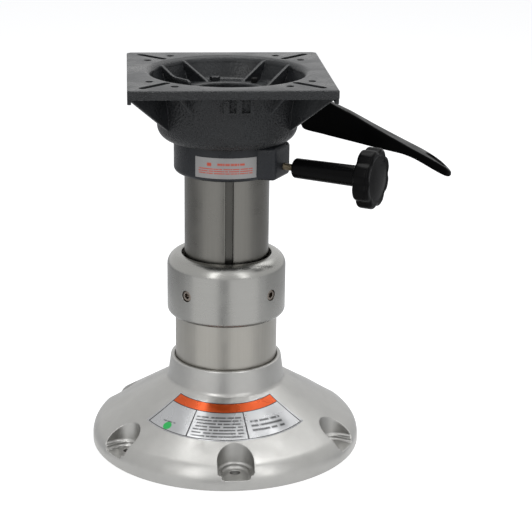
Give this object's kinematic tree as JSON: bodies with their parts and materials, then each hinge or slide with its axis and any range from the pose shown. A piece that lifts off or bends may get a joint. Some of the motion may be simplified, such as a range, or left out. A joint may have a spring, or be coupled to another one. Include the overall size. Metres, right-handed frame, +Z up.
{
  "type": "boat seat pedestal",
  "caption": "Height-adjustable boat seat pedestal: cast base, telescoping column with gas spring, square swivel seat mount, release lever and swivel lock knob.",
  "frame": {"origin": "on the column's axis, at the underside of the base", "axes": "+Z up along the column; the seat plate's sides lie along X and Y; +X is the way the release lever points; -Y is the front with the label and the tube's key groove"},
  "size_m": [0.3122, 0.2372, 0.3316],
  "materials": {
    "base_cast": "satin die-cast, fine even grain",
    "fixed_tube": "satin drawn tube",
    "collar_cast": "satin turned casting",
    "moving_tube": "satin anodised extrusion",
    "mount_cast": "dark grey hammered paint",
    "hub_cast": "dark grey paint, semi-gloss",
    "head_cast": "machined",
    "lever_plastic": "black moulding, fine texture",
    "knob_plastic": "black moulding",
    "nylon": "natural nylon",
    "zinc_steel": "zinc plated",
    "stud_steel": "yellow zinc plated",
    "gas_body": "black paint",
    "plug_rubber": "black",
    "label_foil": "printed foil, no words",
    "hub_label_film": "printed film, no words"
  },
  "bodies": {
    "base": {"base_casting": "base_cast", "outer_tube": "fixed_tube", "guide_collar": "collar_cast", "set_screw_1": "zinc_steel", "set_screw_2": "zinc_steel", "set_screw_3": "zinc_steel", "set_screw_4": "zinc_steel", "upper_guide_bush": "nylon", "gas_spring_rod": "zinc_steel", "gas_spring_piston": "gas_body", "rod_nut": "zinc_steel", "base_label": "label_foil"},
    "post": {"inner_tube": "moving_tube", "lower_guide_bush": "nylon", "gas_spring_body": "gas_body", "gas_spring_gland": "gas_body", "post_head": "head_cast", "thrust_washer": "nylon", "retaining_washer": "zinc_steel", "snap_ring": "zinc_steel"},
    "valve": {"valve_pin": "zinc_steel"},
    "seat": {"seat_mount": "mount_cast", "swivel_hub": "hub_cast", "hub_bolt_1": "zinc_steel", "hub_bolt_2": "zinc_steel", "hub_bolt_3": "zinc_steel", "floor_plug": "plug_rubber", "swivel_bush": "nylon", "hub_label": "hub_label_film", "lever_pin": "zinc_steel", "pin_clip": "zinc_steel"},
    "lever": {"release_lever": "lever_plastic"},
    "pad": {"brake_pad": "nylon"},
    "knob": {"lock_knob": "knob_plastic", "lock_stud": "stud_steel"}
  },
  "joints": [
    {"name": "post_lift", "type": "slide", "parent": "base", "child": "post", "axis": [0, 0, 1], "range_m": [-0.068, 0.034]},
    {"name": "seat_swivel", "type": "hinge", "parent": "post", "child": "seat", "pos_m": [0, 0, 0.2862], "axis": [0, 0, 1], "continuous": true},
    {"name": "lever_lift", "type": "hinge", "parent": "seat", "child": "lever", "pos_m": [0.0725, 0, 0.3051], "axis": [0, -1, 0], "range_deg": [0, 3]},
    {"name": "valve_press", "type": "slide", "parent": "post", "child": "valve", "axis": [0, 0, -1], "range_m": [0, 0.004]},
    {"name": "pad_travel", "type": "slide", "parent": "seat", "child": "pad", "axis": [0.8572, -0.515, 0], "range_m": [-0.0004, 0.00125]},
    {"name": "knob_turn", "type": "hinge", "parent": "pad", "child": "knob", "pos_m": [0.08572, -0.0515, 0.2554], "axis": [0.8572, -0.515, 0], "range_deg": [-120, 365]}
  ],
  "couplings": [
    {"joint": "valve_press", "follows": "lever_lift", "m_per_rad": 0.0725},
    {"joint": "knob_turn", "follows": "pad_travel", "rad_per_m": 5026.5}
  ]
}
